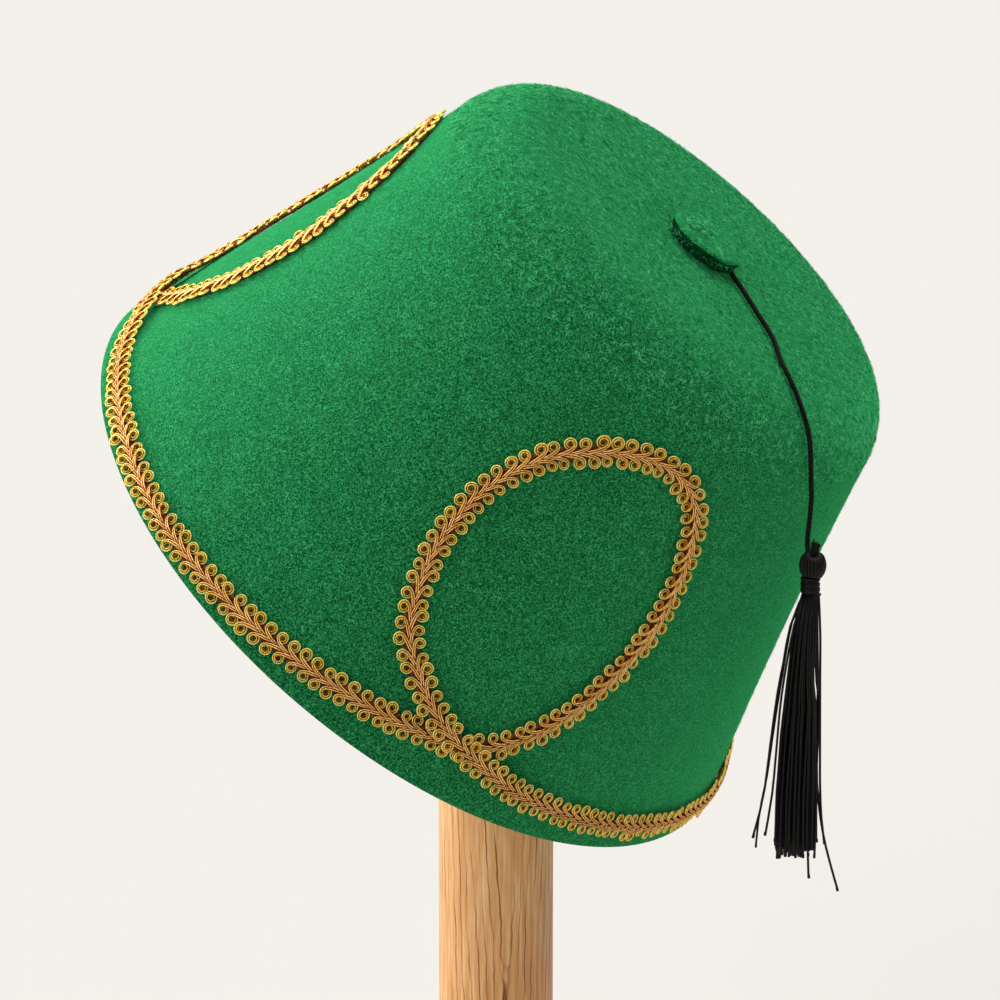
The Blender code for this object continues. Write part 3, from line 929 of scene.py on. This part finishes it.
def makeThread(name, size, dark, light, gloss):
    # black rayon floss, twisted: near black, with paler streaks painted in as a soft silky sheen
    material, coords = newMaterial(name)
    streaks = addNoise(material, coords, size)
    colour = addRamp(material, streaks, (0.35, 0.7), (dark, light))
    bump = addBump(material, streaks, 0.1 * mm, 0.5)
    return setSurface(
        material, {"Base Color": colour, "Normal": bump}, {"Roughness": 0.5, "Specular IOR Level": gloss}
    )


thread = makeThread("blackRayonYarn", 0.8 * mm, "030303", "121110", 0.2)
# the cord's paler flecks are painted highlights, not wear
cordThread = makeThread("blackRayonCord", 0.35 * mm, "020202", "141a16", 0.12)  # worn to a few pale flecks


# strands that stand off from the bundle, each as mm across, in depth and down from the head's top
strayStrands = [
    [(1.3, -0.6, 8.6), (1.75, -1.0, 17), (1.9, -1.2, 28), (2.15, -1.2, 43), (2.3, -1.2, 50), (2.7, -1.1, 57),
     (3.45, -1.0, 62.9)],
    [(1.0, 0.3, 8.6), (1.5, 0.5, 24), (1.7, 0.6, 38), (1.85, 0.6, 50), (3.1, 0.4, 60), (4.9, 0.1, 67.5),
     (6.7, 0.0, 73.6)],
    [(-1.7, -0.4, 8.6), (-4.57, -0.9, 15.3), (-5.9, -1.0, 23.1), (-7.05, -1.0, 29.8), (-8.36, -1.0, 40.7),
     (-9.4, -0.9, 50.5), (-10.35, -0.9, 55.6), (-11.85, -0.8, 61.6)],
    [(-1.6, 0.5, 8.6), (-4.0, 0.8, 14.5), (-6.4, 1.0, 29.8), (-7.85, 1.0, 40.7), (-8.8, 1.0, 48.4),
     (-9.9, 0.9, 54.1), (-10.5, 0.9, 58.2), (-11.0, 0.8, 64.2)],
    [(-1.5, -0.9, 8.6), (-3.8, -1.3, 15), (-6.2, -1.7, 29.8), (-7.3, -1.8, 43.8), (-7.9, -1.8, 51.5),
     (-9.26, -1.8, 60.8)],
    [(-0.2, -1.1, 8.6), (-0.4, -1.8, 30), (-0.6, -2.2, 52), (0.1, -2.2, 70.1)],
]


def makeStrands():
    # the hanging strands: packed at the binding, straight down on the right and fanned out to the lower left
    random = np.random.default_rng(31)
    top = tassel["headLength"] + tassel["bindingLength"] - 1.0  # inside the binding
    count = tassel["strands"]
    depth, deeper = tassel["halfDepth"]
    routes = []
    for i in range(count):
        spot = (i + 0.5) / count * 2 - 1  # from -1 at the left edge to 1 at the right
        # one of seven layers, which lie closer together at the edges
        layer = ((i * 5) % 7 / 6 * 2 - 1) * math.sqrt(1 - 0.8 * spot**2)
        spot += random.normal(0, 0.03)
        length = tassel["skirtLength"] + 1.0 + random.uniform(*tassel["uneven"])
        sway = random.normal(0, tassel["sway"], 2)
        turn = random.uniform(0, 2 * math.pi)
        points = []
        for k in range(15):
            t = k / 14
            left, right = (np.interp(t, *zip(*tassel[edge])) for edge in ("leftEdge", "rightEdge"))
            across = (left + right) / 2 + (right - left) / 2 * spot
            deep = layer * (depth + deeper * t)
            wave = math.sin(math.pi * t) * math.sin(2.4 * math.pi * t + turn)
            points.append((across + sway[0] * wave, deep + sway[1] * wave, top + t * length))
        routes.append(inTassel(points))
    for points in strayStrands:
        smooth = smoothRoute([np.array(point) for point in points], 4)
        routes.append(inTassel(smooth))
    # every strand's cut end is waxed into a small bead
    long, aside = tassel["bead"]
    for route in list(routes):
        tip = route[-1] - route[-2]
        tip *= long / np.linalg.norm(tip)
        beside = np.cross(tip, random.normal(size=3))
        beside *= aside / np.linalg.norm(beside)
        routes.append(np.array([route[-1] - tip + beside, route[-1] + beside]))
    return layThreads("tasselStrands", routes, tassel["strandThickness"], roundness=1)


def makeHead():
    # strands folded over the cord's end and drawn in below: bulging ribs, humped on both sides of the cord,
    # with the cord's knot on top
    routes = []
    ribs = tassel["ribs"]
    rise, level = tassel["hump"]
    for layer, count in ((1.0, ribs), (0.55, ribs // 2)):
        for i in range(count):
            swing = 2 * math.pi * i / count
            hump = rise * math.cos(swing) ** 2 + level
            points = []
            for k in range(15):
                t = k / 14
                # narrow at the cord, full in the middle, drawn in at the binding
                bulge = math.sin(math.pi * (0.15 + 0.69 * t)) ** 0.62 * min(1, 0.45 + 6 * t)
                radius = (tassel["headRadius"] - 0.36) * bulge * layer
                down = 0.45 - hump * (1 - t) ** 2 + t * (tassel["headLength"] - 0.75)
                points.append((radius * math.cos(swing), radius * math.sin(swing) * 0.94, down))
            routes.append(inTassel(points))
    across, deep, radius = tassel["knot"]
    for i in range(2):
        knot = []
        for k in range(13):
            way = math.pi * i + 2 * math.pi * k / 12
            down = 0.45 - 0.4 * i + 0.2 * math.cos(way)
            knot.append((across + radius * math.cos(way), deep + radius * math.sin(way), down))
        routes.append(inTassel(knot))
    return layThreads("tasselHead", routes, tassel["ribThickness"], roundness=1)


def makeTuft():
    # the short frayed end of the cord beside the knot
    random = np.random.default_rng(35)
    routes = []
    for i in range(tassel["frayedEnds"]):
        lean, deep = random.uniform(-0.5, 1.6), random.uniform(-0.9, 0.7)
        tall = random.uniform(*tassel["frayedHeights"])
        foot = np.array((random.uniform(-0.5, 0.5), random.uniform(-0.4, 0.3), 0.7))
        tip = np.array((lean, deep, -tall * (1 - 0.12 * lean**2)))
        bow = (foot + tip) / 2 + random.normal(0, 0.22, 3)
        routes.append(inTassel(smoothRoute([foot, bow, tip], 0.5)))
    return layThreads("cordTuft", routes, 0.24 * mm, roundness=0)


def makeBinding():
    # slack turns of thread wound under the head, with the thread's end sticking out to the right
    random = np.random.default_rng(34)
    wraps, points = tassel["wraps"], []
    wobble = random.normal(0, 0.05, wraps * 20 + 1)
    for k in range(wraps * 20 + 1):
        swing = 2 * math.pi * k / 20
        down = tassel["headLength"] - 0.1 + (tassel["bindingLength"] - 0.8) * k / (wraps * 20)
        radius = tassel["bindingRadius"] + wobble[k] + 0.1 * math.sin(k / 9)
        wave = 0.12 * math.sin(swing + k / 30)
        points.append((-0.45 + radius * math.cos(swing), radius * math.sin(swing), down + wave))
    stub = [(0.9, -0.4, 8.3), (1.4, -0.5, 8.6), (1.8, -0.5, 8.7)]
    routes = [inTassel(points), inTassel(stub)]
    return layThreads("tasselBinding", routes, tassel["strandThickness"], roundness=1)


tasselStrands = finishPiece(makeStrands(), thread, "black_thread", "tassel_skirt")
tasselHead = finishPiece(makeHead(), thread, "black_thread", "tassel_head")
cordTuft = finishPiece(makeTuft(), thread, "black_thread")
tasselBinding = finishPiece(makeBinding(), thread, "black_thread", "tassel_binding")
finishPiece(twistedCord, cordThread, "black_thread", "tassel_cord")
print("tassel made")

# stand

woodLook = {
    "pale": "efc28c",
    "middle": "dfa56b",
    "brown": "cd8d50",
    "line": "803e08",
    "streak": 1.1 * mm,
    "postRadius": 13.4 * mm,
    "heart": -55.3,  # degrees round the post to the middle of the pointed figure
    "tip": 45 * mm,  # up the post to its lowest point
    "lineSpacing": 1.75 * mm,
    "lineHalfWidth": 0.24 * mm,
    "rise": 0.045,  # how fast the figure widens along the grain
    "roundTip": 1.5 * mm,
    # slow and quick swings of a line: how far, how wide across the grain, and that as a share of how long
    "wander": ((2.2 * mm, 7 * mm, 0.14), (1.0 * mm, 2.6 * mm, 0.4)),
}


def addStretched(material, laid, size, along, detail=1.0):
    # a smooth noise `size` across the grain and 1 / along times as long with it
    drawn = addNode(material, "ShaderNodeMapping", {"Vector": laid, "Scale": (1, 1, along)})
    return addNoise(material, drawn.outputs["Vector"], size, detail, roughness=0.6)


def makeWood(name, onPost):
    # rubberwood, sanded and oiled: soft honey streaks along the grain, and thin dark growth lines that wander
    # and close in long points, under a satin surface; the grain runs up the turned post, and across the base
    material, coords = newMaterial(name)
    turn = (0, 0, math.radians(-woodLook["heart"])) if onPost else (0, math.radians(90), 0)
    laid = addNode(material, "ShaderNodeMapping", {"Vector": coords, "Rotation": turn}).outputs["Vector"]
    parts = addNode(material, "ShaderNodeSeparateXYZ", {"Vector": laid}).outputs
    if onPost:
        around = addMath(material, "ARCTAN2", parts["Y"], parts["X"])
        across = addMath(material, "MULTIPLY", around, woodLook["postRadius"])
    else:
        across = addMath(material, "MULTIPLY", addMath(material, "ADD", parts["X"], parts["Y"]), 0.7)
    squared = addMath(material, "MULTIPLY_ADD", across, across, woodLook["roundTip"] ** 2)
    aside = addMath(material, "SQRT", squared)
    figure = addMath(material, "MULTIPLY_ADD", parts["Z"], -woodLook["rise"], aside)
    for swing, size, along in woodLook["wander"]:
        figure = addMath(material, "MULTIPLY_ADD", addStretched(material, laid, size, along), swing, figure)
    start = woodLook["roundTip"] - woodLook["rise"] * woodLook["tip"]
    start += sum(swing for swing, size, along in woodLook["wander"]) / 2
    apart = addMath(
        material, "PINGPONG", addMath(material, "SUBTRACT", figure, start), woodLook["lineSpacing"] / 2
    )
    line = addLines(material, apart, woodLook["lineHalfWidth"])
    shown = addRange(material, addStretched(material, laid, 2.4 * mm, 0.12), 0.38, 0.60, 0.25, 1.0)
    streaks = addStretched(material, laid, woodLook["streak"], 0.06, 4.0)
    colour = addRamp(
        material, streaks, (0.32, 0.52, 0.74), [woodLook[part] for part in ("pale", "middle", "brown")]
    )
    lines = addMath(material, "MULTIPLY", line, shown)
    return setSurface(
        material,
        {
            "Base Color": addBlend(material, lines, colour, hexColor(woodLook["line"])),
            "Normal": addBump(material, streaks, 0.06 * mm, 0.3),
        },
        {"Roughness": 0.5, "Specular IOR Level": 0.4},
    )


for node, name, onPost in (
    ("stand_post", "oiledRubberwoodPost", True), ("stand_base", "oiledRubberwoodBase", False)
):
    item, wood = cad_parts[node], makeWood(name, onPost)
    if not item.material_slots:
        item.data.materials.append(wood)
    for place in item.material_slots:
        place.material = wood
print("stand finished")

# studio

studio = {
    "floor": "cecbc6",
    "air": "fff9f0",
    "airStrength": 0.06,
    # each soft light: degrees round from +X, height, strength and softness
    "lights": {
        "leftSoftbox": (190, 30, 3.25, 45),
        "frontSoftbox": (253, 25, 0.92, 45),
        "topSoftbox": (30, 70, 2.55, 45),
    },
}


def makeStudio():
    bpy.ops.mesh.primitive_plane_add(size=300)
    floor = bpy.context.object
    floor.name = "studioFloor"
    paper = newMaterial("matPaperSweep")[0]
    evenly = {"Base Color": hexColor(studio["floor"]), "Roughness": 0.9, "Specular IOR Level": 0.0}
    floor.data.materials.append(setSurface(paper, {}, evenly))
    world = bpy.data.worlds.new("softRoom")
    world.use_nodes = True
    world.node_tree.nodes["Background"].inputs["Color"].default_value = hexColor(studio["air"])
    world.node_tree.nodes["Background"].inputs["Strength"].default_value = studio["airStrength"]
    bpy.context.scene.world = world
    for name, (turn, height, strength, softness) in studio["lights"].items():
        bpy.ops.object.light_add(type="SUN")
        lamp = bpy.context.object
        lamp.name = name
        around, up = math.radians(turn), math.radians(height)
        towards = Vector((math.cos(up) * math.cos(around), math.cos(up) * math.sin(around), math.sin(up)))
        lamp.rotation_euler = towards.to_track_quat("Z", "Y").to_euler()
        lamp.data.energy = strength
        lamp.data.angle = math.radians(softness)


makeStudio()
print("studio lit")
